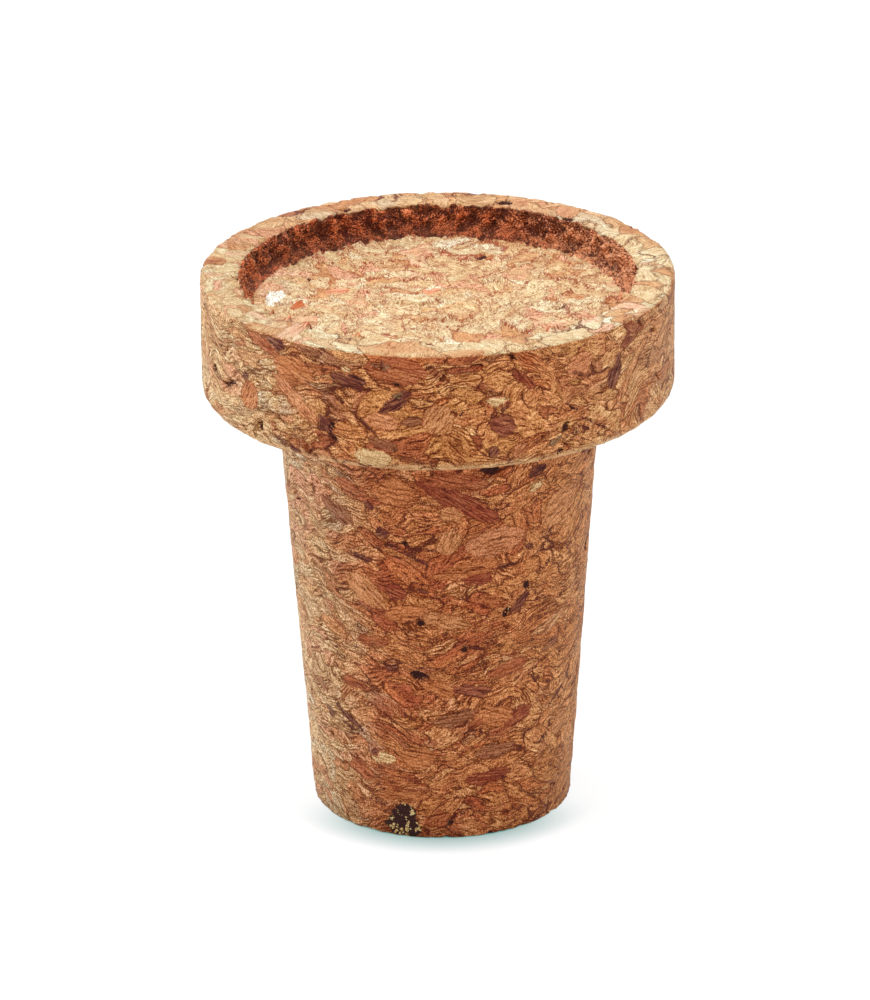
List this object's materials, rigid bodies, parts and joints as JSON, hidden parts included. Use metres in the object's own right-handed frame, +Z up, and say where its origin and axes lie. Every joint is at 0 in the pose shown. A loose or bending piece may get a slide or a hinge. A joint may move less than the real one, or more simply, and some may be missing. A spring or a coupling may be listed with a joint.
{
  "type": "cork stopper",
  "caption": "Solid agglomerated cork stopper: a broad flat head with a shallow round recess in its top, and a tapered shank that plugs a wide neck.",
  "frame": {"origin": "centre of the narrow end's flat face, on the surface that the stopper stands on", "axes": "+Z up the axis from the narrow end to the head; the stopper is round about Z"},
  "size_m": [0.06, 0.06, 0.0711],
  "materials": {
    "cork": "matt agglomerated cork: sanded coarse granules with growth lines, paler where the top is cut"
  },
  "bodies": {
    "root": {"stopper": "cork"}
  },
  "joints": []
}
